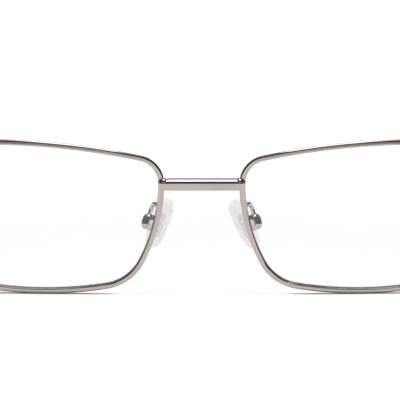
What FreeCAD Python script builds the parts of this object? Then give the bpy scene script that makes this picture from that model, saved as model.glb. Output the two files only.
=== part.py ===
import FreeCAD, Part

# Full-rim metal eyeglasses with rounded-rectangle lenses, in millimetres.
#
# Frame: +Z up, the lenses face -Y, and the pair is symmetric about X = 0. It stands open on its rims
# and on the ends of its temples, with Z = 0 the table. "left" is the wearer's left, at +X. Everything is
# drawn on the left and mirrored to the right.
#
# The rims, lenses, bridge and nose pads are drawn in the front's own frame, upright with the foremost
# point of each lens at Y = 0, and that frame is then tilted. Hinges and temples are drawn level.
import math
import os
import re

import Sketcher
from FreeCAD import Placement, Rotation, Vector

SIZES = [
    # the front as a whole
    ("front_y", -68.68),  # puts the middle of the whole depth at Y = 0
    ("front_lift", 0.05),  # puts the lowest point of the tilted rims at Z = 0
    ("front_tilt", 5.0),  # degrees, top forward
    ("lens_pitch", 35.0),  # centre of the nose to the centre of a lens
    ("lens_mid_z", 17.4),
    ("base_radius", 120.0),  # sphere on which the lens and the rim lie
    ("face_form", 4.5),  # degrees that each lens turns outward
    # rim centre line as four tangent sides with rounded corners, before it is laid on the sphere
    ("top_high_x", 45.2),
    ("top_high_z", 34.17),
    ("top_radius", 149.0),
    ("nose_edge_x", 8.83),
    ("nose_edge_z", 26.1),
    ("nose_radius", 40.7),
    ("floor_low_x", 36.5),
    ("floor_low_z", 0.5),
    ("floor_radius", 102.5),
    ("temple_edge_x", 61.7),
    ("temple_edge_z", 23.5),
    ("temple_radius", 60.0),
    ("corner_top_nose", 6.0),
    ("corner_floor_nose", 10.5),
    ("corner_floor_temple", 9.0),
    ("corner_top_temple", 6.5),
    # rim wire and lens
    ("wire_width", 1.24),
    ("wire_depth", 2.0),
    ("wire_round", 0.52),  # corners away from the lens
    ("wire_edge", 0.3),  # corners beside the lens
    ("groove_depth", 0.42),
    ("groove_width", 1.0),
    ("split_gap", 0.2),  # gap in the rim between the closing blocks
    ("split_wide", 8.0),  # block that cuts the gap
    ("split_deep", 12.0),
    ("split_y", -2.0),
    ("lens_thick", 1.5),
    ("lens_fit", 0.05),  # clearance of the lens edge in its groove
    ("blank_wide", 60.0),  # blank from which the lens is cut
    ("blank_deep", 12.0),
    ("blank_tall", 40.0),
    ("trim_reach", 8.0),  # ring that trims the blank to the lens outline
    ("trim_half", 2.0),
    ("lap", 0.1),  # by which two blocks of one body run into each other
    # bridge
    ("bridge_half", 9.42),
    ("bridge_low_z", 23.62),
    ("bridge_high_z", 26.15),
    ("bridge_face_y", -1.2),
    ("bridge_depth", 1.8),
    ("bridge_crown", 1.1),
    ("bridge_edge", 0.14),
    ("bridge_end_round", 0.5),
    # end piece, closing blocks and their screw
    ("arm_x", 65.5),  # middle plane of the end piece's rear leg and of the temple
    ("arm_thick", 1.4),
    ("hinge_z", 26.2),
    ("end_root_x", 61.45),
    ("end_face_y", 3.55),
    ("end_rear_y", 9.85),
    ("end_tall", 3.3),
    ("end_bend", 2.6),
    ("soft_edge", 0.3),
    ("block_x", 61.3),
    ("block_y", 4.25),
    ("block_wide", 2.9),
    ("block_deep", 2.3),
    ("block_round", 0.9),
    ("upper_block_top", 24.5),
    ("upper_block_low", 23.05),
    ("lower_block_top", 22.85),
    ("lower_block_low", 21.2),
    ("rim_screw_radius", 0.55),
    ("rim_screw_head", 0.95),
    ("rim_screw_head_tall", 0.5),
    # hinge
    ("pivot_x", 63.3),
    ("pivot_y", 10.4),
    ("barrel_radius", 1.3),
    ("barrel_tall", 4.6),
    ("rear_barrel_tall", 1.5),
    ("barrel_slot_tall", 1.9),
    ("barrel_slot_radius", 1.42),
    ("leaf_inner", 0.35),
    ("front_leaf_long", 3.6),
    ("rear_leaf_start", 1.65),
    ("rear_leaf_end", 6.8),
    ("leaf_tall", 3.0),
    ("pin_radius", 0.6),
    ("pin_hole_radius", 0.65),
    ("pin_head_radius", 1.0),
    ("pin_head_tall", 0.45),
    ("slot_wide", 0.3),
    ("slot_deep", 0.25),
    ("washer_thick", 0.12),
    ("washer_radius", 1.22),
    # temple and its tip
    ("temple_start_y", 10.0),
    ("temple_front_half", 1.65),
    ("temple_rear_half", 1.2),
    ("core_start_y", 76.0),
    ("core_half", 0.7),
    ("core_thick", 1.0),
    ("core_short", 9.0),
    ("bend_y", 110.0),
    ("bend_radius", 22.0),
    ("drop_angle", 40.0),
    ("tip_start_y", 76.0),
    ("tip_half", 2.6),
    ("tip_thick", 3.0),
    ("tip_end_round", 2.45),
    ("tip_edge", 1.1),
    # nose pads: the origin of the pad frame is on the rocking axis, in the box
    ("box_x", 12.0),
    ("box_y", 6.9),
    ("box_z", 15.25),
    ("pad_splay", 28.0),  # degrees that the pads open to the rear
    ("pad_lean", 20.0),  # degrees that the pads open downward
    ("left_pad_rock", 6.0),  # degrees by which the left pad rests further over
    ("box_nose_side", 1.15),
    ("box_temple_side", 1.6),
    ("box_deep", 2.8),
    ("box_tall", 3.8),
    ("box_round", 1.35),
    ("box_slot_wide", 1.2),
    ("box_slot_floor", 1.0),
    ("pad_screw_radius", 0.4),
    ("pad_screw_head", 0.75),
    ("pad_screw_head_tall", 0.3),
    ("eye_radius", 0.85),
    ("eye_round", 0.765),
    ("eye_hole_radius", 0.45),
    ("eye_thick", 1.0),
    ("pad_gap", 1.6),  # rocking axis to the back of the pad
    ("pad_thick", 2.8),
    ("pad_long", 11.8),
    ("pad_above", 6.4),  # part of that length above the rocking axis
    ("pad_top_wide", 6.4),
    ("pad_low_wide", 5.4),
    ("pad_drift", 0.7),  # rearward shift of the pad's low end
    ("pad_corner", 2.4),
    ("pad_edge", 1.15),
    ("plate_in", 0.7),
    ("plate_thick", 0.6),
    ("plate_long", 5.8),
    ("plate_wide", 3.4),
    ("plate_corner", 1.2),
    ("pad_arm_radius", 0.5),
    ("pad_arm_bend", 1.5),
    ("arm_root_x", 9.5),  # pad arm's start, inside the rim wire, in the front's frame
    ("arm_root_y", 1.2),
    ("arm_root_z", 19.4),
    ("arm_knee_x", 10.5),  # its rearmost bend, behind the lens
    ("arm_knee_y", 4.6),
    ("arm_knee_z", 19.7),
    ("arm_drop_x", 0.5),  # where it turns down to the box, in the pad's frame
    ("arm_drop_y", -0.2),
    ("arm_drop_z", 4.2),
    ("arm_end_x", 0.4),  # its end in the box
    ("arm_end_z", 1.2),
]

DOC = FreeCAD.newDocument("Eyeglasses")
UP = Vector(0, 0, 1)
CLOSE = 1e-6  # lengths and shares nearer than this count as the same


# ---- sheet and small helpers ----


def make_sheet():
    """Put every driving dimension in the spreadsheet, one to a row, under its own alias."""
    sheet = DOC.addObject("Spreadsheet::Sheet", "Sizes")
    for row, (name, value) in enumerate(SIZES, start=1):
        sheet.set(f"A{row}", name)
        sheet.set(f"B{row}", str(value))
        sheet.setAlias(f"B{row}", name)
    DOC.recompute()


def size(name):
    return float(DOC.Sizes.get(name))


def front_place():
    """Frame of the tilted front."""
    origin = Vector(0, size("front_y"), size("front_lift"))
    return Placement(origin, Rotation(Vector(1, 0, 0), size("front_tilt")))


def lens_place():
    """Frame of the left lens: its origin is the foremost point of the lens sphere."""
    centre = Vector(size("lens_pitch"), 0, size("lens_mid_z"))
    return front_place() * Placement(centre, Rotation(UP, size("face_form")))


def level_place(x=0.0, y=0.0, z=0.0):
    """Frame of the level parts behind the front."""
    return Placement(Vector(x, size("front_y") + y, z), Rotation())


def pad_place(rock=0.0):
    """Frame of the left pad: +X from the pad to its box, +Y to the rear along the rocking axis."""
    origin = Vector(size("box_x"), size("box_y"), size("box_z"))
    splay = Rotation(UP, -size("pad_splay"))
    lean = Rotation(Vector(0, 1, 0), -size("pad_lean") - rock)
    return front_place() * Placement(origin, splay * lean)


def start_body(label, place):
    made = DOC.addObject("PartDesign::Body", label)
    made.Label = label
    made.Placement = place
    return made


def start_sketch(body, plane):
    """Empty sketch on one of the body's own origin planes."""
    sketch = body.newObject("Sketcher::SketchObject", body.Name + "_sketch")
    support = [feature for feature in body.Origin.OriginFeatures if feature.Role == plane]
    sketch.AttachmentSupport = [(support[0], "")]
    sketch.MapMode = "FlatFace"
    return sketch


def bind(sketch, kind, item, value):
    """Drive one coordinate or radius of sketch geometry by an expression over the sheet."""
    number = sketch.evalExpression(value)
    if kind == "Radius":
        index = sketch.addConstraint(Sketcher.Constraint(kind, item[0], number))
    else:
        index = sketch.addConstraint(Sketcher.Constraint(kind, -1, 1, item[0], item[1], number))
    sketch.setExpression(f"Constraints[{index}]", value)


def polygon(body, plane, corners):
    """Sketch of a closed outline through corners, each a pair of expressions in the sheet's names."""
    sketch = start_sketch(body, plane)
    named = [(cells(across), cells(up)) for across, up in corners]
    points = [Vector(sketch.evalExpression(a), sketch.evalExpression(b), 0) for a, b in named]
    for start, end in zip(points, points[1:] + points[:1]):
        sketch.addGeometry(Part.LineSegment(start, end), False)
    for index, (across, up) in enumerate(named):
        before = (index - 1) % len(named)
        sketch.addConstraint(Sketcher.Constraint("Coincident", before, 2, index, 1))
        bind(sketch, "DistanceX", (index, 1), across)
        bind(sketch, "DistanceY", (index, 1), up)
    return sketch


def disc(body, plane, radius):
    """Sketch of a circle about the body's origin."""
    sketch = start_sketch(body, plane)
    number = sketch.evalExpression(cells(radius))
    sketch.addGeometry(Part.Circle(Vector(0, 0, 0), UP, number), False)
    sketch.addConstraint(Sketcher.Constraint("Coincident", 0, 3, -1, 1))
    bind(sketch, "Radius", (0,), cells(radius))
    return sketch


def cells(expression):
    """The expression with each bare dimension name turned into a reference to its cell."""
    known = {name for name, _ in SIZES}
    return re.sub(r"[a-z_]+", lambda word: "Sizes." + word[0] if word[0] in known else word[0], expression)


def extrude(body, kind, sketch, length):
    """Pad or pocket that reaches the same way to both sides of its sketch."""
    made = body.newObject("PartDesign::" + kind, body.Name + "_" + kind.lower())
    made.Profile = sketch
    made.SideType = "Symmetric"
    made.setExpression("Length", cells(length))
    DOC.recompute()
    return made


def pad(body, sketch, length):
    return extrude(body, "Pad", sketch, length)


def pocket(body, sketch, length):
    """Pocket that has to remove something."""
    before = body.Shape.Volume
    made = extrude(body, "Pocket", sketch, length)
    assert made.Shape.Volume < before - CLOSE, body.Label + ": pocket cuts nothing"
    return made


def fillet(body, radius, wanted):
    """Round the edges of the body so far for which wanted(edge) is true."""
    base = body.Tip
    names = [f"Edge{number}" for number, edge in enumerate(base.Shape.Edges, start=1) if wanted(edge)]
    made = body.newObject("PartDesign::Fillet", body.Name + "_fillet")
    made.Base = (base, names)
    made.setExpression("Radius", cells(radius))
    DOC.recompute()
    return made


def along(edge, axis):
    """True if the edge is straight and parallel to axis."""
    return isinstance(edge.Curve, Part.Line) and abs(abs(edge.Curve.Direction.dot(axis)) - 1) < CLOSE


def on_plane(edge, axis, place):
    """True if the whole edge lies on the plane at this distance along axis."""
    return all(abs(vertex.Point.dot(axis) - place) < CLOSE for vertex in edge.Vertexes)


def shape_part(label, shape, place):
    made = DOC.addObject("Part::Feature", label)
    made.Label = label
    made.Shape = shape
    made.Placement = place
    return made


def boolean(kind, label, base, tool):
    """Part::Cut or Part::Fuse of two objects."""
    made = DOC.addObject("Part::" + kind, label)
    made.Label = label
    made.Base = base
    made.Tool = tool
    DOC.recompute()
    return made


def cylinder(label, radius, height, place):
    made = DOC.addObject("Part::Cylinder", label)
    made.setExpression("Radius", cells(radius))
    made.setExpression("Height", cells(height))
    made.Placement = place
    return made


def bar(label, sides, place):
    """Part::Box centred on its own place in X and Y, standing on it in Z."""
    made = DOC.addObject("Part::Box", label)
    for name, value in zip(("Length", "Width", "Height"), sides):
        made.setExpression(name, cells(value))
    DOC.recompute()
    centre = Vector(-made.Length.Value / 2, -made.Width.Value / 2, 0)
    made.Placement = place * Placement(centre, Rotation())
    return made


def screw(label, place, lengths, radii):
    """Slotted screw: its shaft runs from shaft_low to head_low, then the head. All are expressions."""
    shaft_low, head_low, head_tall = lengths
    shaft_radius, head_radius = radii
    low, high = (DOC.Sizes.evalExpression(cells(level)) for level in (shaft_low, head_low))
    tall = DOC.Sizes.evalExpression(cells(head_tall))
    shaft = cylinder(label + "_shaft", shaft_radius, f"{head_low} - ({shaft_low})", place * lifted(low))
    head = cylinder(label + "_head", head_radius, head_tall, place * lifted(high))
    slot_place = place * lifted(high + tall - size("slot_deep"))
    slot = bar(label + "_slot", (f"3 * {head_radius}", "slot_wide", "2 * slot_deep"), slot_place)
    return boolean("Cut", label, boolean("Fuse", label + "_blank", shaft, head), slot)


def lifted(height):
    return Placement(Vector(0, 0, height), Rotation())


def rounded_wire(corners, closed=True):
    """Wire through (point, radius) corners: straight runs joined by tangent arcs."""
    last = len(corners) - 1
    edges = []
    ends = []
    for index, (point, radius) in enumerate(corners):
        if radius == 0 or (not closed and index in (0, last)):
            ends.append((point, point))
            continue
        back = (corners[index - 1][0] - point).normalize()
        ahead = (corners[(index + 1) % len(corners)][0] - point).normalize()
        half = back.getAngle(ahead) / 2
        reach = radius / math.tan(half)
        inward = (back + ahead).normalize()
        middle = point + inward * (radius / math.sin(half) - radius)
        start, end = point + back * reach, point + ahead * reach
        edges.append(Part.Arc(start, middle, end).toShape())
        ends.append((start, end))
    for index in range(len(corners) if closed else last):
        start, end = ends[index][1], ends[(index + 1) % len(corners)][0]
        if start.distanceToPoint(end) > CLOSE:
            edges.append(Part.LineSegment(start, end).toShape())
    return Part.Wire(Part.__sortEdges__(edges))


# ---- rim centre line on the lens sphere ----


def side_circles():
    """Centre and radius of the four sides in the lens frame's X and Z, from the top round by the nose."""
    across, up = size("lens_pitch"), size("lens_mid_z")
    top, nose, floor, temple = (size(name + "_radius") for name in ("top", "nose", "floor", "temple"))
    return [
        (Vector(size("top_high_x") - across, size("top_high_z") - up - top, 0), top),
        (Vector(size("nose_edge_x") - across + nose, size("nose_edge_z") - up, 0), nose),
        (Vector(size("floor_low_x") - across, size("floor_low_z") - up + floor, 0), floor),
        (Vector(size("temple_edge_x") - across - temple, size("temple_edge_z") - up, 0), temple),
    ]


def corner_centre(first, second, radius):
    """Centre of the arc of this radius that is tangent inside two side circles."""
    (centre_a, radius_a), (centre_b, radius_b) = first, second
    gap = centre_b - centre_a
    reach_a, reach_b = radius_a - radius, radius_b - radius
    run = (reach_a**2 - reach_b**2 + gap.Length**2) / (2 * gap.Length)
    rise = math.sqrt(reach_a**2 - run**2)
    ahead = Vector(gap).normalize()
    foot = centre_a + ahead * run
    aside = Vector(-ahead.y, ahead.x, 0) * rise
    return min(foot + aside, foot - aside, key=lambda point: point.Length)


def arc_points(centre, radius, start, end):
    """Start, middle and end of the shorter arc about centre."""
    middle = ((start - centre).normalize() + (end - centre).normalize()).normalize()
    return start, centre + middle * radius, end


def flat_arcs():
    """The rim's centre line as tangent arcs, each three points, counter-clockwise seen from the front."""
    sides = side_circles()
    names = ("corner_top_nose", "corner_floor_nose", "corner_floor_temple", "corner_top_temple")
    corners = []
    for index, name in enumerate(names):
        following = sides[(index + 1) % len(sides)]
        centre = corner_centre(sides[index], following, size(name))
        touch = [side + (centre - side).normalize() * reach for side, reach in (sides[index], following)]
        corners.append((centre, size(name), touch[0], touch[1]))
    arcs = []
    for index, (centre, radius, start, end) in enumerate(corners):
        side, reach = sides[index]
        arcs.append(arc_points(side, reach, corners[index - 1][3], start))
        arcs.append(arc_points(centre, radius, start, end))
    return arcs


def on_sphere(point):
    """Stereographic map of the flat drawing to the lens sphere: circles stay circles and stay tangent."""
    radius = size("base_radius")
    shrink = 4 * radius**2 / (point.x**2 + point.y**2 + 4 * radius**2)
    return Vector(point.x * shrink, 2 * radius * (1 - shrink), point.y * shrink)


def revolve_round(section):
    """Carry a section round the rim's centre line. section gives corners as (outward, back, radius)."""
    centre = Vector(0, size("base_radius"), 0)
    pieces = []
    for arc in flat_arcs():
        start, middle, end = (on_sphere(point) for point in arc)
        axis = (middle - start).cross(end - middle).normalize()
        back = (centre - start).normalize()
        outward = back.cross(axis.cross(start - centre)).normalize()
        corners = [(start + outward * out + back * deep, radius) for out, deep, radius in section]
        first, last = (spot - centre - axis * axis.dot(spot - centre) for spot in (start, end))
        turn = math.degrees(first.getAngle(last))
        pieces.append(Part.Face(rounded_wire(corners)).revolve(centre, axis, turn))
    return pieces[0].multiFuse(pieces[1:]).removeSplitter()


# ---- rim and lens ----


def wire_section():
    """Rim wire: rounded away from the lens, a vee groove facing it."""
    half, deep = size("wire_width") / 2, size("wire_depth") / 2
    mouth, outer, edge = size("groove_width") / 2, size("wire_round"), size("wire_edge")
    return [
        (half, -deep, outer),
        (half, deep, outer),
        (-half, deep, edge),
        (-half, mouth, 0),
        (size("groove_depth") - half, 0, 0),
        (-half, -mouth, 0),
        (-half, -deep, edge),
    ]


def rim():
    """Rim wire, parted at the temple side by the gap between the closing blocks."""
    ring = revolve_round(wire_section())
    place = lens_place()
    middle = (size("upper_block_low") + size("lower_block_top")) / 2
    gap = Part.makeBox(size("split_wide"), size("split_deep"), size("split_gap"))
    start_x = size("temple_edge_x") - size("split_wide") / 2
    corner = level_place(start_x, size("split_y"), middle - size("split_gap") / 2)
    gap.Placement = place.inverse() * corner
    return shape_part("left_rim", ring.cut(gap), place)


def lens():
    """Spherical shell of even thickness with a bevelled edge that sits in the rim's groove."""
    radius, half = size("base_radius"), size("lens_thick") / 2
    centre = Vector(0, radius, 0)
    shell = Part.makeSphere(radius + half, centre).cut(Part.makeSphere(radius - half, centre))
    wide, tall = size("blank_wide"), size("blank_tall")
    corner = Vector(-wide / 2, -half, -tall / 2)
    blank = shell.common(Part.makeBox(wide, size("blank_deep"), tall, corner))
    inner = -size("wire_width") / 2 - size("lens_fit")
    peak = inner + size("groove_depth")
    mouth = size("groove_width") / 2
    reach, edge = size("trim_reach"), size("trim_half")
    outside = [
        (reach, -edge, 0),
        (reach, edge, 0),
        (inner, edge, 0),
        (inner, mouth, 0),
        (peak, 0, 0),
        (inner, -mouth, 0),
        (inner, -edge, 0),
    ]
    pieces = blank.cut(revolve_round(outside)).Solids
    return shape_part("left_lens", max(pieces, key=lambda piece: piece.Volume), lens_place())


def bridge(left_rim, right_rim):
    """Straight bar across the nose, soldered over both rims: flat front, crowned top."""
    body = start_body("bridge_bar", front_place())
    rear = "bridge_face_y + bridge_depth"
    profile = [
        ("bridge_face_y", "bridge_low_z"),
        (rear, "bridge_low_z"),
        (rear, "bridge_high_z"),
        ("bridge_face_y", "bridge_high_z"),
    ]
    pad(body, polygon(body, "YZ_Plane", profile), "2 * bridge_half")
    face, low, high = size("bridge_face_y"), size("bridge_low_z"), size("bridge_high_z")
    across, back = Vector(1, 0, 0), Vector(0, 1, 0)
    fillet(
        body,
        "bridge_crown",
        lambda e: along(e, across) and on_plane(e, UP, high) and on_plane(e, back, face),
    )
    half, rear_y = size("bridge_half"), face + size("bridge_depth")

    def rounds_the_end(edge):
        at_end = on_plane(edge, across, half) or on_plane(edge, across, -half)
        return at_end and not (on_plane(edge, UP, low) or on_plane(edge, back, rear_y))

    fillet(body, "bridge_end_round", rounds_the_end)
    fillet(body, "bridge_edge", lambda e: along(e, across) and on_plane(e, UP, low))
    return boolean("Cut", "bridge", boolean("Cut", "bridge_left_cut", body, left_rim), right_rim)


# ---- end piece and closing blocks ----


def end_piece(left_rim):
    """Bar that leaves the rim sideways and turns back to the hinge."""
    body = start_body("left_end_bar", level_place(z=size("hinge_z")))
    outer, inner = "arm_x + arm_thick / 2", "arm_x - arm_thick / 2"
    plan = [
        ("end_root_x", "end_face_y"),
        (outer, "end_face_y"),
        (outer, "end_rear_y"),
        (inner, "end_rear_y"),
        (inner, "end_face_y + arm_thick"),
        ("end_root_x", "end_face_y + arm_thick"),
    ]
    pad(body, polygon(body, "XY_Plane", plan), "end_tall")
    face, side = size("end_face_y"), size("arm_x") + size("arm_thick") / 2
    forward, across = Vector(0, 1, 0), Vector(1, 0, 0)
    fillet(
        body,
        "end_bend",
        lambda e: along(e, UP) and on_plane(e, forward, face) and on_plane(e, across, side),
    )
    inner_side = side - size("arm_thick")
    inner_face = face + size("arm_thick")
    fillet(
        body,
        "end_bend - arm_thick",
        lambda e: along(e, UP) and on_plane(e, forward, inner_face) and on_plane(e, across, inner_side),
    )
    half = size("end_tall") / 2
    fillet(body, "soft_edge", lambda e: on_plane(e, UP, half) or on_plane(e, UP, -half))
    return boolean("Cut", "left_end_piece", body, left_rim)


def block_place(level):
    """Frame on the axis of the rim screw."""
    middle_x = size("block_x") + size("block_wide") / 2
    middle_y = size("block_y") + size("block_deep") / 2
    return level_place(middle_x, middle_y, level)


def closing_block(label, low, high, left_rim):
    """Block soldered to one end of the parted rim, bored for the rim screw."""
    body = start_body(label + "_blank", block_place((size(low) + size(high)) / 2))
    signs = ((-1, -1), (1, -1), (1, 1), (-1, 1))
    corners = [(f"{a} * block_wide / 2", f"{b} * block_deep / 2") for a, b in signs]
    pad(body, polygon(body, "XY_Plane", corners), f"{high} - {low}")
    side = size("block_wide") / 2
    fillet(body, "block_round", lambda e: along(e, UP) and on_plane(e, Vector(1, 0, 0), side))
    pocket(body, disc(body, "XY_Plane", "rim_screw_radius"), f"2 * ({high} - {low})")
    return boolean("Cut", label, body, left_rim)


def rim_screw():
    """Screw up through both closing blocks, its head underneath."""
    upside_down = block_place(size("lower_block_low")) * Placement(Vector(), Rotation(Vector(1, 0, 0), 180))
    return screw(
        "left_rim_screw",
        upside_down,
        ("lower_block_low - upper_block_top", "0", "rim_screw_head_tall"),
        ("rim_screw_radius", "rim_screw_head"),
    )


# ---- hinge ----


def hinge_place():
    return level_place(size("pivot_x"), size("pivot_y"), size("hinge_z"))


def leaf(body, start, end, tall, inner="leaf_inner"):
    """Plate against the inner face of the end piece or the temple."""
    outer = "arm_x - arm_thick / 2 - pivot_x"
    corners = [(inner, start), (outer, start), (outer, end), (inner, end)]
    return pad(body, polygon(body, "XY_Plane", corners), tall)


def hinge_front():
    """Leaf soldered to the end piece, with an upper and a lower barrel."""
    body = start_body("left_hinge_front", hinge_place())
    leaf(body, "-front_leaf_long", "end_rear_y - pivot_y", "barrel_tall")
    pad(body, disc(body, "XY_Plane", "barrel_radius"), "barrel_tall")
    pocket(body, disc(body, "XY_Plane", "barrel_slot_radius"), "barrel_slot_tall")
    pocket(body, disc(body, "XY_Plane", "pin_hole_radius"), "2 * barrel_tall")
    return body


def hinge_rear():
    """Leaf soldered to the temple, with the middle barrel."""
    body = start_body("left_hinge_rear", hinge_place())
    leaf(body, "rear_leaf_start", "rear_leaf_end", "leaf_tall")
    leaf(body, "-lap", "rear_leaf_start + lap", "rear_barrel_tall", "-lap")
    pad(body, disc(body, "XY_Plane", "barrel_radius"), "rear_barrel_tall")
    pocket(body, disc(body, "XY_Plane", "pin_hole_radius"), "barrel_tall")
    return body


def hinge_screw():
    """Hinge pin: a slotted screw from above."""
    return screw(
        "left_hinge_screw",
        hinge_place(),
        ("-barrel_tall / 2", "barrel_tall / 2", "pin_head_tall"),
        ("pin_radius", "pin_head_radius"),
    )


def washer(label, level):
    place = hinge_place() * lifted(level - size("washer_thick") / 2)
    ring = cylinder(label + "_disc", "washer_radius", "washer_thick", place)
    hole = cylinder(label + "_hole", "pin_hole_radius", "washer_thick", place)
    return boolean("Cut", label, ring, hole)


def hinge_washers():
    """A thin washer above and one below the middle barrel."""
    level = (size("rear_barrel_tall") + size("barrel_slot_tall")) / 4
    upper, lower = washer("upper_washer", level), washer("lower_washer", -level)
    return boolean("Fuse", "left_hinge_washers", upper, lower)


# ---- temple ----


def arm_outline(start, start_half, half, short="0"):
    """Side view of a strip that runs back level, bends down and ends short of the tip's end."""
    side = "(tip_half - tip_end_round) * cos(drop_angle)"
    run = f"(tip_end_round + (hinge_z - tip_end_round - {side}) / sin(drop_angle) - {short})"
    shift = f"{half} * tan(drop_angle / 2)"
    end_y, end_z = f"bend_y + {run} * cos(drop_angle)", f"-{run} * sin(drop_angle)"
    aside, above = f"{half} * sin(drop_angle)", f"{half} * cos(drop_angle)"
    return [
        (start, f"-{start_half}"),
        (f"bend_y - {shift}", f"-{half}"),
        (f"{end_y} - {aside}", f"{end_z} - {above}"),
        (f"{end_y} + {aside}", f"{end_z} + {above}"),
        (f"bend_y + {shift}", half),
        (start, start_half),
    ]


def round_the_bend(body, half):
    """Turn the two sharp edges at the bend into concentric arcs."""
    across = Vector(1, 0, 0)
    bend, near = size("bend_y"), size("tip_half")
    fillet(
        body,
        f"bend_radius - {half}",
        lambda e: along(e, across) and bend - near < e.Vertexes[0].Y < bend,
    )
    fillet(
        body,
        f"bend_radius + {half}",
        lambda e: along(e, across) and bend < e.Vertexes[0].Y < bend + near,
    )


def temple():
    """Side arm: a flat bar that tapers to the rear, with a thin core wire that runs on inside the tip."""
    body = start_body("left_temple", level_place(x=size("arm_x"), z=size("hinge_z")))
    flat = [
        ("temple_start_y", "-temple_front_half"),
        ("core_start_y", "-temple_rear_half"),
        ("core_start_y", "temple_rear_half"),
        ("temple_start_y", "temple_front_half"),
    ]
    pad(body, polygon(body, "YZ_Plane", flat), "arm_thick")
    thick, across = size("arm_thick"), Vector(1, 0, 0)

    def runs_back(edge):
        outer = on_plane(edge, across, thick / 2) or on_plane(edge, across, -thick / 2)
        return outer and edge.BoundBox.YLength > thick

    fillet(body, "soft_edge", runs_back)
    strip = arm_outline("core_start_y - arm_thick", "core_half", "core_half", "core_short")
    pad(body, polygon(body, "YZ_Plane", strip), "core_thick")
    round_the_bend(body, "core_half")
    return body


def temple_tip(core):
    """Sleeve over the temple's bent end."""
    body = start_body("left_tip_blank", level_place(x=size("arm_x"), z=size("hinge_z")))
    pad(body, polygon(body, "YZ_Plane", arm_outline("tip_start_y", "tip_half", "tip_half")), "tip_thick")
    round_the_bend(body, "tip_half")
    across = Vector(1, 0, 0)
    past_bend = size("bend_y") + size("bend_radius") / 2
    fillet(body, "tip_end_round", lambda e: along(e, across) and e.Vertexes[0].Y > past_bend)
    half = size("tip_thick") / 2
    fillet(body, "tip_edge", lambda e: on_plane(e, across, half) or on_plane(e, across, -half))
    return boolean("Cut", "left_temple_tip", body, core)


# ---- nose pad ----


def pad_box():
    """Rounded box, slotted on the nose side for the pad's eyelet and bored for the pad screw."""
    body = start_body("left_pad_box", pad_place())
    corners = [
        ("-box_nose_side", "-box_tall / 2"),
        ("box_temple_side", "-box_tall / 2"),
        ("box_temple_side", "box_tall / 2"),
        ("-box_nose_side", "box_tall / 2"),
    ]
    pad(body, polygon(body, "XZ_Plane", corners), "box_deep")
    fillet(body, "box_round", lambda e: e.BoundBox.XMax > 0)
    slot = [
        ("-box_tall", "-box_tall"),
        ("box_slot_floor", "-box_tall"),
        ("box_slot_floor", "box_tall"),
        ("-box_tall", "box_tall"),
    ]
    pocket(body, polygon(body, "XZ_Plane", slot), "box_slot_wide")
    pocket(body, disc(body, "XZ_Plane", "pad_screw_radius"), "2 * box_deep")
    return body


def pad_screw():
    """Screw across the box, its head to the rear."""
    rearward = pad_place() * Placement(Vector(), Rotation(Vector(1, 0, 0), -90))
    return screw(
        "left_pad_screw",
        rearward,
        ("-box_deep / 2", "box_deep / 2", "pad_screw_head_tall"),
        ("pad_screw_radius", "pad_screw_head"),
    )


def pad_core(label, rock):
    """Stiff plate inside the pad, with the eyelet that hangs on the pad screw."""
    body = start_body(label, pad_place(rock))
    tab = [
        ("-pad_gap - plate_in", "-eye_radius"),
        ("lap", "-eye_radius"),
        ("lap", "eye_radius"),
        ("-pad_gap - plate_in", "eye_radius"),
    ]
    pad(body, polygon(body, "XZ_Plane", tab), "eye_thick")
    plate_far = "-pad_gap - plate_in - plate_thick"
    plate = [
        (plate_far, "-plate_long / 2"),
        ("-pad_gap - plate_in", "-plate_long / 2"),
        ("-pad_gap - plate_in", "plate_long / 2"),
        (plate_far, "plate_long / 2"),
    ]
    pad(body, polygon(body, "XZ_Plane", plate), "plate_wide")
    plate_back = -size("pad_gap") - size("plate_in")
    across = Vector(1, 0, 0)
    fillet(body, "plate_corner", lambda e: along(e, across) and e.BoundBox.XMin < plate_back - size("lap"))
    fillet(body, "eye_round", lambda e: along(e, Vector(0, 1, 0)) and e.Vertexes[0].X > 0)
    pocket(body, disc(body, "XZ_Plane", "eye_hole_radius"), "2 * eye_thick")
    return body


def nose_pad(label, core, rock):
    """Soft pad moulded over its plate: an egg outline with well rounded edges."""
    body = start_body(label + "_blank", pad_place(rock))
    outline = [
        ("pad_drift - pad_low_wide / 2", "pad_above - pad_long"),
        ("pad_drift + pad_low_wide / 2", "pad_above - pad_long"),
        ("pad_top_wide / 2", "pad_above"),
        ("-pad_top_wide / 2", "pad_above"),
    ]
    middle = "pad_gap + pad_thick / 2"
    sketch = polygon(body, "YZ_Plane", outline)
    sketch.setExpression("AttachmentOffset.Base.z", cells(f"-({middle})"))
    pad(body, sketch, "pad_thick")
    across = Vector(1, 0, 0)
    fillet(body, "pad_corner", lambda e: along(e, across))
    back, face = -size("pad_gap"), -size("pad_gap") - size("pad_thick")
    fillet(body, "pad_edge", lambda e: on_plane(e, across, back) or on_plane(e, across, face))
    return boolean("Cut", label, body, core)


def pad_arm(left_rim, box):
    """Wire from the back of the rim, rearward and down into the top of the pad box."""
    place = front_place()
    into_box = place.inverse() * pad_place()
    root, knee, drop = (
        Vector(*(size(f"arm_{point}_{axis}") for axis in "xyz")) for point in ("root", "knee", "drop")
    )
    end = Vector(size("arm_end_x"), 0, size("arm_end_z"))
    route = [
        (root, 0),
        (knee, size("pad_arm_bend")),
        (into_box.multVec(drop), size("pad_arm_bend")),
        (into_box.multVec(end), 0),
    ]
    spine = rounded_wire(route, closed=False)
    heading = route[1][0] - route[0][0]
    mouth = Part.Wire(Part.makeCircle(size("pad_arm_radius"), route[0][0], heading))
    swept = spine.makePipeShell([mouth], True, True)
    blank = shape_part("left_pad_arm_blank", swept, place)
    return boolean("Cut", "left_pad_arm", boolean("Cut", "left_pad_arm_root", blank, left_rim), box)


# ---- assembly ----


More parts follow.
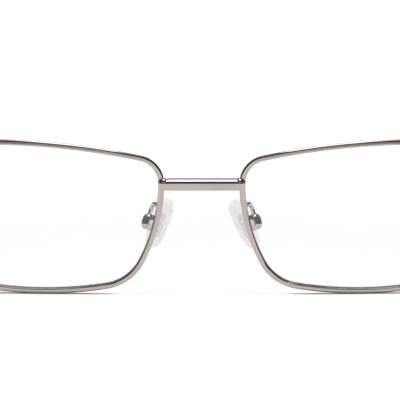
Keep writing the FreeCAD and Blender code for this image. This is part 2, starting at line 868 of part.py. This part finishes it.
def mirrored(source, label):
    made = DOC.addObject("Part::Mirroring", label)
    made.Label = label
    made.Source = source
    made.Normal = Vector(1, 0, 0)
    return made


def build():
    """Make every sub-part and return the objects to export."""
    make_sheet()
    left_rim = rim()
    box = pad_box()
    rock = size("left_pad_rock")
    core = pad_core("left_pad_core", rock)
    arm = temple()
    left = [
        left_rim,
        lens(),
        end_piece(left_rim),
        closing_block("left_upper_block", "upper_block_low", "upper_block_top", left_rim),
        closing_block("left_lower_block", "lower_block_low", "lower_block_top", left_rim),
        rim_screw(),
        hinge_front(),
        hinge_rear(),
        hinge_screw(),
        hinge_washers(),
        arm,
        temple_tip(arm),
        pad_arm(left_rim, box),
        box,
        pad_screw(),
        core,
        nose_pad("left_nose_pad", core, rock),
    ]
    level_core = pad_core("level_pad_core", 0)
    level_pad = nose_pad("level_nose_pad", level_core, 0)
    right = [mirrored(part, part.Label.replace("left_", "right_")) for part in left[:-2]]
    right.append(mirrored(level_core, "right_pad_core"))
    right.append(mirrored(level_pad, "right_nose_pad"))
    DOC.recompute()
    return [bridge(left_rim, right[0])] + left + right


def check(parts):
    """Stop if any object failed or any sub-part is empty or not valid."""
    for item in DOC.Objects:
        assert not {"Invalid", "Error"} & set(item.State), item.Label + " failed"
    for part in parts:
        assert not part.Shape.isNull() and part.Shape.Solids, part.Label + " has no solid"
        assert part.Shape.isValid(), part.Label + " isn't valid"


def export(parts):
    os.makedirs("parts", exist_ok=True)
    for part in parts:
        part.Shape.exportStep(f"parts/{part.Label}.step")


PARTS = build()
DOC.recompute()
check(PARTS)
export(PARTS)
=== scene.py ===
import math

import bmesh
import bpy
import numpy as np
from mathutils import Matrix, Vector


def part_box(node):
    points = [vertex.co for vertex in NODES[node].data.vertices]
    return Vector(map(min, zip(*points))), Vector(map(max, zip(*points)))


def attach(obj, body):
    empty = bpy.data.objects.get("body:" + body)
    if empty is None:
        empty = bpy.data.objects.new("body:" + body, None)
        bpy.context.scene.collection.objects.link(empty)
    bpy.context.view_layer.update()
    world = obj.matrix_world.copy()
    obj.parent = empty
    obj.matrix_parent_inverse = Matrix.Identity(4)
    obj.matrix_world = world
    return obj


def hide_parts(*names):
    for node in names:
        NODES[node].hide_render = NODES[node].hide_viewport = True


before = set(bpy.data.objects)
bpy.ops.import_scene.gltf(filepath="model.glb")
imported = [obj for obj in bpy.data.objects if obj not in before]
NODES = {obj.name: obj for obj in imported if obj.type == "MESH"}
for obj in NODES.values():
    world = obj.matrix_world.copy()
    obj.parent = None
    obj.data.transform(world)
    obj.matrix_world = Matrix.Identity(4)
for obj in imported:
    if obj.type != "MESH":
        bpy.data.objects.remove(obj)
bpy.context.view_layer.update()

# Looks of the wire eyeglasses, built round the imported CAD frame.
# Lengths are in metres. Colours are linear, and a material's pair is a deep and a pale shade.

MM = 0.001

WHITE = (1.0, 1.0, 1.0, 1.0)
NICKEL = ((0.49, 0.43, 0.397), (0.53, 0.468, 0.433))
PAD_NICKEL = ((0.51, 0.465, 0.42), (0.56, 0.515, 0.47))
STEEL = ((0.52, 0.51, 0.50), (0.68, 0.67, 0.66))
NYLON = ((0.70, 0.68, 0.63), (0.80, 0.78, 0.73))
POLYCARBONATE = ((0.91, 0.90, 0.90), (0.97, 0.97, 0.97))
BLACK_ACETATE = ((0.008, 0.008, 0.009), (0.022, 0.021, 0.023))
LENS_CLEAR = ((0.992, 0.996, 0.994), (1.0, 1.0, 1.0))
SILICONE = ((0.90, 0.87, 0.875), (0.98, 0.955, 0.96))
PALE_FLOOR = ((0.59, 0.59, 0.59), (0.60, 0.60, 0.60))
LENS_SHADE = (0.97, 0.97, 0.97, 1.0)  # what is left of light that passes a lens

# What the metal reflects, by height from the horizon (0) to straight up (1).
FRONT_SKY = [
    (0.00, (0.42, 0.38, 0.36)),
    (0.05, (0.24, 0.21, 0.22)),
    (0.12, (0.05, 0.045, 0.07)),
    (0.20, (0.022, 0.020, 0.036)),
    (0.90, (0.030, 0.026, 0.045)),
    (0.97, (0.30, 0.28, 0.30)),
    (1.00, (0.5, 0.5, 0.5)),
]
BACK_SKY = [
    (0.00, (0.85, 0.83, 0.90)),
    (0.08, (0.40, 0.36, 0.36)),
    (0.14, (0.12, 0.09, 0.07)),
    (0.97, (0.16, 0.13, 0.11)),
    (1.00, (0.5, 0.5, 0.5)),
]
SIDE_SKY = (0.045, 0.040, 0.055, 1.0)

# Rings of a nose pad, from the middle of its face, over the edge, to the middle of its back:
# share of the outline, and height as a share of half the ringed depth.
PAD_RINGS = [
    (0.16, 1.00), (0.38, 0.985), (0.60, 0.94), (0.78, 0.85), (0.90, 0.66), (0.965, 0.40),
    (0.99, 0.10), (0.985, -0.22), (0.95, -0.55), (0.885, -0.83), (0.80, -0.97),
    (0.71, -1.00), (0.64, -0.93), (0.56, -0.72), (0.42, -0.62), (0.34, -0.66),
    (0.30, -0.90), (0.26, -0.98), (0.22, -0.90), (0.19, -0.70),
]
PAD_TURNS = 56
PAD_FACE, PAD_BACK = 1.0, -0.66  # heights of the two middles, as shares of half the thickness
PAD_RINGED_DEPTH = 0.93  # the rings' depth, as a share of the thickness
PAD_BOW = 0.04  # how far the ends curl from the nose, as a share of half the thickness
PAD_FULLNESS = 0.66  # 1 is an ellipse, and less has fuller ends
PAD_WIDENING = 0.085  # how much wider the top is, and narrower the low end
PAD_LENGTHENING = 0.12  # the inner rings are longer than the outline's shape

# The same for a solder bead, whose unit is its radius: a dome, and then a flared foot.
BEAD_DOME = [(math.sin(math.radians(a)), math.cos(math.radians(a))) for a in range(12, 73, 12)]
BEAD_FOOT = [(1.00, 0.20), (1.06, 0.10), (1.16, 0.03), (1.20, -0.30), (0.90, -0.50)]
BEAD_TURNS = 32
BEAD_RADIUS = 0.80 * MM
BEAD_STRETCH = 1.35  # length along the bridge over width
BEAD_LUMP = 0.03


# ---------------------------------------------------------------- node graphs


class Graph:
    """A node tree with a short way to add a node: inputs are values or sockets."""

    def __init__(self, tree):
        self.tree = tree
        tree.nodes.clear()

    def feed(self, socket, value):
        """A socket is linked, and a plain value is set on the input itself."""
        if isinstance(value, bpy.types.NodeSocket):
            self.tree.links.new(value, socket)
        else:
            socket.default_value = value

    def add(self, kind, inputs=None, **settings):
        node = self.tree.nodes.new(kind)
        for name, value in settings.items():
            setattr(node, name, value)
        for name, value in (inputs or {}).items():
            self.feed(node.inputs[name], value)
        return node

    def math(self, operation, first, second=0.0):
        return self.add("ShaderNodeMath", {0: first, 1: second}, operation=operation).outputs[0]

    def parts(self, vector):
        """The x, y and z of a vector."""
        node = self.add("ShaderNodeSeparateXYZ", {0: vector})
        return [node.outputs[k] for k in range(3)]

    def spread(self, value, span, result, shape="LINEAR"):
        """A value from the span is spread over the result, and held at the ends."""
        inputs = {"Value": value}
        inputs["From Min"], inputs["From Max"] = span
        inputs["To Min"], inputs["To Max"] = result
        return self.add("ShaderNodeMapRange", inputs, interpolation_type=shape).outputs["Result"]

    def ramp(self, value, stops):
        """Colour by value, through stops of a place and a colour."""
        node = self.add("ShaderNodeValToRGB", {"Fac": value})
        elements = node.color_ramp.elements
        while len(elements) < len(stops):
            elements.new(0.5)
        for element, (place, colour) in zip(elements, stops):
            element.position = place
            element.color = (*colour, 1.0)
        return node.outputs["Color"]

    def shades(self, value, span, colours):
        """A deep shade up to the start of the span, and a pale one from its end."""
        return self.ramp(value, list(zip(span, colours)))

    def mix(self, share, first, second):
        node = self.add("ShaderNodeMix", data_type="RGBA")
        for name, value in {"Factor": share, "A": first, "B": second}.items():
            self.feed(next(s for s in node.inputs if s.name == name and s.enabled), value)
        return next(s for s in node.outputs if s.enabled)

    def mix_shader(self, share, first, second):
        return self.add("ShaderNodeMixShader", {0: share, 1: first, 2: second}).outputs[0]

    def noise(self, size, detail=3.0, stretch=(1.0, 1.0, 1.0), seed=0.0):
        """Noise whose lumps are about size metres across on the object."""
        place = self.add("ShaderNodeTexCoord").outputs["Object"]
        inputs = {"Vector": place, "Location": (seed, seed, seed), "Scale": stretch}
        vector = self.add("ShaderNodeMapping", inputs).outputs["Vector"]
        inputs = {"Vector": vector, "Scale": 1.0 / size, "Detail": detail}
        return self.add("ShaderNodeTexNoise", inputs).outputs["Fac"]

    def bump(self, height, distance, strength, under=None):
        inputs = {"Height": height, "Distance": distance, "Strength": strength}
        if under is not None:
            inputs["Normal"] = under
        return self.add("ShaderNodeBump", inputs).outputs["Normal"]

    def principled(self, inputs):
        return self.add("ShaderNodeBsdfPrincipled", inputs).outputs[0]

    def finish(self, shader):
        self.add("ShaderNodeOutputMaterial", {"Surface": shader})


def new_material(name):
    material = bpy.data.materials.new(name)
    material.use_nodes = True
    return material, Graph(material.node_tree)


# ---------------------------------------------------------------- materials


def plated_metal(name, colours, polished, satin):
    """Nickel plate: polished where it is rounded, satin on flats that face forward."""
    material, graph = new_material(name)
    cloud = graph.noise(9 * MM, detail=2.0)
    normal = graph.add("ShaderNodeNewGeometry").outputs["Normal"]
    forward = graph.math("MULTIPLY", graph.parts(normal)[1], -1.0)
    flat = graph.spread(forward, (0.93, 0.985), (0.0, 1.0), "SMOOTHSTEP")
    haze = graph.noise(1.6 * MM, detail=4.0, seed=3.0)
    haze = graph.spread(haze, (0.3, 0.7), (0.8, 1.25))
    rough = graph.spread(flat, (0.0, 1.0), (polished, satin))
    fine = graph.noise(0.5 * MM, detail=2.0, seed=1.0)
    fine = graph.bump(fine, distance=0.8e-6, strength=0.4)
    brushing = graph.noise(0.11 * MM, stretch=(0.06, 1.0, 1.0), seed=7.0)
    brushing = graph.math("MULTIPLY", brushing, flat)
    graph.finish(graph.principled({
        "Base Color": graph.shades(cloud, (0.35, 0.65), colours),
        "Metallic": 1.0,
        "Roughness": graph.math("MULTIPLY", rough, haze),
        "Normal": graph.bump(brushing, distance=2.0e-6, strength=0.5, under=fine),
    }))
    return material


def turned_steel(name, colours):
    """Screws: bright steel with fine turning marks."""
    material, graph = new_material(name)
    cloud = graph.noise(1.2 * MM)
    rings = graph.noise(0.07 * MM, detail=2.0, stretch=(0.25, 0.25, 1.0))
    graph.finish(graph.principled({
        "Base Color": graph.shades(cloud, (0.3, 0.7), colours),
        "Metallic": 1.0,
        "Roughness": graph.spread(rings, (0.3, 0.7), (0.12, 0.34)),
        "Normal": graph.bump(rings, distance=6.0e-6, strength=0.5),
    }))
    return material


def moulded_plastic(name, colours, rough, coat=0.0, ior=1.49, transmission=0.0, alpha=1.0):
    """Nylon, acetate or polycarbonate with faint flow lines and a little orange peel."""
    material, graph = new_material(name)
    flow = graph.noise(2.5 * MM, detail=5.0, stretch=(1.0, 0.3, 1.0))
    peel = graph.noise(0.35 * MM, detail=2.0, seed=5.0)
    scuffs = graph.noise(0.9 * MM, detail=6.0, stretch=(1.0, 0.2, 1.0), seed=9.0)
    scuffed_rough = rough * 1.9
    graph.finish(graph.principled({
        "Base Color": graph.shades(flow, (0.35, 0.65), colours),
        "Roughness": graph.spread(scuffs, (0.35, 0.75), (rough, scuffed_rough)),
        "Normal": graph.bump(peel, distance=4.0e-6, strength=0.5),
        "Coat Weight": coat,
        "IOR": ior,
        "Transmission Weight": transmission,
        "Alpha": alpha,
    }))
    return material


def clear_lens(name, colours):
    """Hard-coated optical plastic: clear, with the faintest wipe marks."""
    material, graph = new_material(name)
    wipes = graph.noise(4.0 * MM, detail=6.0, stretch=(0.25, 1.0, 1.0))
    ripple = graph.noise(6.0 * MM, detail=1.0, seed=4.0)
    clear = graph.principled({
        "Base Color": graph.shades(wipes, (0.3, 0.7), colours),
        "Roughness": graph.spread(wipes, (0.5, 0.8), (0.0, 0.012)),
        "Normal": graph.bump(ripple, distance=3.0e-7, strength=0.5),
        "Transmission Weight": 1.0,
        "IOR": 1.5,
    })
    # a ray that only tests for shadow goes straight through, so the lens casts almost none
    shadow_ray = graph.add("ShaderNodeLightPath").outputs["Is Shadow Ray"]
    passing = graph.add("ShaderNodeBsdfTransparent", {"Color": LENS_SHADE}).outputs[0]
    graph.finish(graph.mix_shader(shadow_ray, clear, passing))
    return material


def clear_silicone(name, colours):
    """Soft clear rubber: cloudy inside, slightly tacky on the skin."""
    material, graph = new_material(name)
    cloud = graph.noise(1.7 * MM, detail=4.0)
    grain = graph.noise(0.16 * MM, seed=2.0)
    graph.finish(graph.principled({
        "Base Color": graph.shades(cloud, (0.3, 0.7), colours),
        "Roughness": graph.spread(grain, (0.3, 0.7), (0.14, 0.30)),
        "Normal": graph.bump(grain, distance=5.0e-6, strength=0.6),
        "Transmission Weight": 0.35,
        "IOR": 1.41,
        "Alpha": 0.28,
    }))
    return material


def make_materials():
    """The material of each of the record's slots."""
    return {
        "plated_wire": plated_metal("plated_wire", NICKEL, polished=0.05, satin=0.17),
        "hinge_metal": plated_metal("hinge_metal", NICKEL, polished=0.10, satin=0.20),
        "pad_metal": plated_metal("pad_metal", PAD_NICKEL, polished=0.05, satin=0.08),
        "screw_steel": turned_steel("screw_steel", STEEL),
        "washer": moulded_plastic("washer", NYLON, rough=0.35),
        "core_plastic": moulded_plastic(
            "core_plastic", POLYCARBONATE, rough=0.12, ior=1.2, transmission=0.8, alpha=0.25
        ),
        "tip_plastic": moulded_plastic("tip_plastic", BLACK_ACETATE, rough=0.13, coat=0.3),
        "lens": clear_lens("lens", LENS_CLEAR),
        "silicone": clear_silicone("silicone", SILICONE),
    }


def paint_nodes(materials):
    """Each CAD node's own slots get the detailed material of the same name."""
    for node in NODES.values():
        for slot in node.material_slots:
            slot.material = materials[slot.material.name.split(".")[0]]


# ---------------------------------------------------------------- pieces


def link(name, data):
    """A new object in the scene."""
    added = bpy.data.objects.new(name, data)
    bpy.context.scene.collection.objects.link(added)
    return added


def ringed_piece(name, rings, turns, place, poles, material):
    """Closed smooth piece: a pole, rings of points from place(share, height, angle), a pole."""
    angles = [2 * math.pi * k / turns for k in range(turns)]
    points = [place(share, height, angle) for share, height in rings for angle in angles]
    vertices = [poles[0], *points, poles[1]]
    last = len(vertices) - 1
    faces = []
    for k in range(turns):
        follow = (k + 1) % turns
        faces.append((0, 1 + k, 1 + follow))
        for r in range(len(rings) - 1):
            a, b = 1 + r * turns, 1 + (r + 1) * turns
            faces.append((a + k, b + k, b + follow, a + follow))
        a = 1 + (len(rings) - 1) * turns
        faces.append((a + k, last, a + follow))
    mesh = bpy.data.meshes.new(name)
    mesh.from_pydata([tuple(v) for v in vertices], [], faces)
    mesh.shade_smooth()
    face_outward(mesh)
    mesh.materials.append(material)
    return link(name, mesh)


def face_outward(mesh):
    work = bmesh.new()
    work.from_mesh(mesh)
    bmesh.ops.recalc_face_normals(work, faces=work.faces)
    work.to_mesh(mesh)
    work.free()


def node_frame(name):
    """Middle, axes and sizes of a flat, long node: across, up along it, and through to the nose."""
    points = np.array([v.co for v in NODES[name].data.vertices])
    middle = points.mean(0)
    along, across, through = map(
        Vector, np.linalg.svd(points - middle, full_matrices=False)[2]
    )
    along *= math.copysign(1, along.z)
    across *= math.copysign(1, across.y)
    through *= -math.copysign(1, through.x * middle[0])
    axes = (across, along, through)
    spans = [(points - middle) @ np.array(axis) for axis in axes]
    centre = Vector(middle)
    for axis, span in zip(axes, spans):
        centre += axis * float(span.max() + span.min()) / 2
    return centre, axes, [float(span.max() - span.min()) for span in spans]


def nose_pad(side, material):
    """A moulded pad: crowned face to the nose, rolled edge, dished back with a collar."""
    node = f"{side}_nose_pad"
    centre, (across, along, through), (wide, tall, thick) = node_frame(node)

    def put(x, y, height):
        bow = PAD_BOW * (2 * y / tall) ** 2
        return centre + across * x + along * y + through * ((height - bow) * thick / 2)

    def place(share, height, angle):
        c, s = math.cos(angle), math.sin(angle)
        y = math.copysign(abs(s) ** PAD_FULLNESS, s)
        x = math.copysign(abs(c) ** PAD_FULLNESS, c) * (1 + PAD_WIDENING * y)
        x, y = x * wide / 2, y * tall / 2
        longer = 1 + PAD_LENGTHENING * (1 - share)
        return put(x * share, y * share * longer, height * PAD_RINGED_DEPTH)

    poles = put(0, 0, PAD_FACE), put(0, 0, PAD_BACK)
    piece = ringed_piece(f"{side}_silicone_pad", PAD_RINGS, PAD_TURNS, place, poles, material)
    piece.modifiers.new("rounding", "SUBSURF").render_levels = 2
    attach(piece, f"{side}_pad")
    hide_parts(node)


def solder_bead(side, material):
    """Solder in the corner between the bridge and a rim: a dome with a flared foot."""
    low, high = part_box("bridge")
    sign = 1 if side == "left" else -1
    inset, behind, below = 0.9 * MM, 1.04 * BEAD_RADIUS, 0.98 * BEAD_RADIUS
    centre = Vector((sign * (high.x - inset), low.y + behind, high.z - below))
    outward = Vector((0, -1, 1)).normalized()
    across = Vector((1, 0, 0))
    aside = outward.cross(across)

    def place(share, height, angle):
        lump = 1 + BEAD_LUMP * math.sin(3 * angle + 0.7) * share
        x = BEAD_STRETCH * share * lump * math.cos(angle)
        y = share * lump * math.sin(angle)
        return centre + BEAD_RADIUS * (across * x + aside * y + outward * height)

    rings = BEAD_DOME + BEAD_FOOT
    foot = rings[-1][1]
    poles = centre + outward * BEAD_RADIUS, centre + outward * BEAD_RADIUS * foot
    bead = ringed_piece(f"{side}_bridge_solder", rings, BEAD_TURNS, place, poles, material)
    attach(bead, "front")


# ---------------------------------------------------------------- studio


def make_floor():
    """A large pale floor that glows more with distance, so that it has no edge, and whose glow is
    dimmed near the frame into a painted contact shadow.
    """
    reach, sides = 7.0, 64
    angles = np.linspace(0, 2 * math.pi, sides, False)
    ring = [(reach * math.cos(t), reach * math.sin(t), 0.0) for t in angles]
    mesh = bpy.data.meshes.new("floor")
    mesh.from_pydata(ring, [], [tuple(range(sides))])
    floor = link("floor", mesh)

    material, graph = new_material("pale_floor")
    cloud = graph.noise(0.05, detail=2.0)
    place = graph.add("ShaderNodeTexCoord").outputs["Object"]
    far = graph.add("ShaderNodeVectorMath", {0: place}, operation="LENGTH").outputs["Value"]
    glow = graph.spread(far, (0.05, 0.9), (0.74, 1.12), "SMOOTHSTEP")
    # painted contact shadow: the floor's glow is cut by ambient occlusion where the frame touches
    # or nears it
    contact = {"Distance": 1.9 * MM}
    painted_contact_shadow = graph.add("ShaderNodeAmbientOcclusion", contact, samples=12).outputs["AO"]
    painted_contact_shadow = graph.spread(painted_contact_shadow, (0.45, 0.95), (0.1, 1.0))
    graph.finish(graph.principled({
        "Base Color": graph.shades(cloud, (0.3, 0.7), PALE_FLOOR),
        "Roughness": 0.6,
        "Specular IOR Level": 0.1,
        "Emission Color": WHITE,
        "Emission Strength": graph.math("MULTIPLY", glow, painted_contact_shadow),
    }))
    mesh.materials.append(material)


def make_world():
    """A studio that the metal reflects, and plain white where the background is seen."""
    world = bpy.data.worlds.new("studio")
    bpy.context.scene.world = world
    world.use_nodes = True
    graph = Graph(world.node_tree)
    direction = graph.add("ShaderNodeTexCoord").outputs["Generated"]
    x, y, z = graph.parts(direction)

    behind = graph.spread(y, (-0.12, 0.18), (0.0, 1.0), "SMOOTHSTEP")
    around = graph.mix(behind, graph.ramp(z, FRONT_SKY), graph.ramp(z, BACK_SKY))
    aside = graph.spread(graph.math("ABSOLUTE", x), (0.42, 0.66), (0.0, 1.0), "SMOOTHSTEP")
    raised = graph.spread(z, (0.16, 0.26), (0.0, 1.0), "SMOOTHSTEP")
    colour = graph.mix(graph.math("MULTIPLY", aside, raised), around, SIDE_SKY)
    strength = graph.spread(z, (0.0, 0.75), (1.0, 2.6))
    inputs = {"Color": colour, "Strength": strength}
    studio = graph.add("ShaderNodeBackground", inputs).outputs[0]
    inputs = {"Color": WHITE, "Strength": 1.12}
    white = graph.add("ShaderNodeBackground", inputs).outputs[0]

    # the white is seen directly, or through clear parts with no reflection on the way
    path = graph.add("ShaderNodeLightPath").outputs
    unreflected = graph.math("LESS_THAN", path["Glossy Depth"], 0.5)
    through = graph.math("MULTIPLY", path["Is Transmission Ray"], unreflected)
    seen = graph.math("MAXIMUM", path["Is Camera Ray"], through)
    surface = graph.mix_shader(seen, studio, white)
    graph.add("ShaderNodeOutputWorld", {"Surface": surface})


def make_light():
    """The key, a large soft panel overhead and in front, which shines straight down."""
    data = bpy.data.lights.new("key", "AREA")
    data.shape = "RECTANGLE"
    data.size, data.size_y = 0.36, 1.05
    data.energy = 2.5
    light = link("key", data)
    light.location = (0.0, -0.245, 0.9)


def make_camera():
    """The photograph's view: level from the front, a little above, centred on the bridge."""
    low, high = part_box("left_rim")
    sideways, depth, rise = -0.0004, 0.0024, 0.0038
    aim = Vector((sideways, low.y + depth, (low.z + high.z) / 2 + rise))
    distance = 0.70
    elevation = math.radians(4.5)
    view_width = 0.0895
    data = bpy.data.cameras.new("camera")
    data.sensor_width = 36.0
    data.lens = data.sensor_width * distance / view_width
    data.clip_start = 0.01
    data.clip_end = 50.0
    camera = link("camera", data)
    camera.location = aim + distance * Vector((0, -math.cos(elevation), math.sin(elevation)))
    camera.rotation_euler = (aim - camera.location).to_track_quat("-Z", "Y").to_euler()
    bpy.context.scene.camera = camera


def main():
    materials = make_materials()
    paint_nodes(materials)
    for side in ("left", "right"):
        nose_pad(side, materials["silicone"])
        solder_bead(side, materials["plated_wire"])
    make_floor()
    make_world()
    make_light()
    make_camera()
    bpy.context.scene.view_settings.view_transform = "Standard"


main()
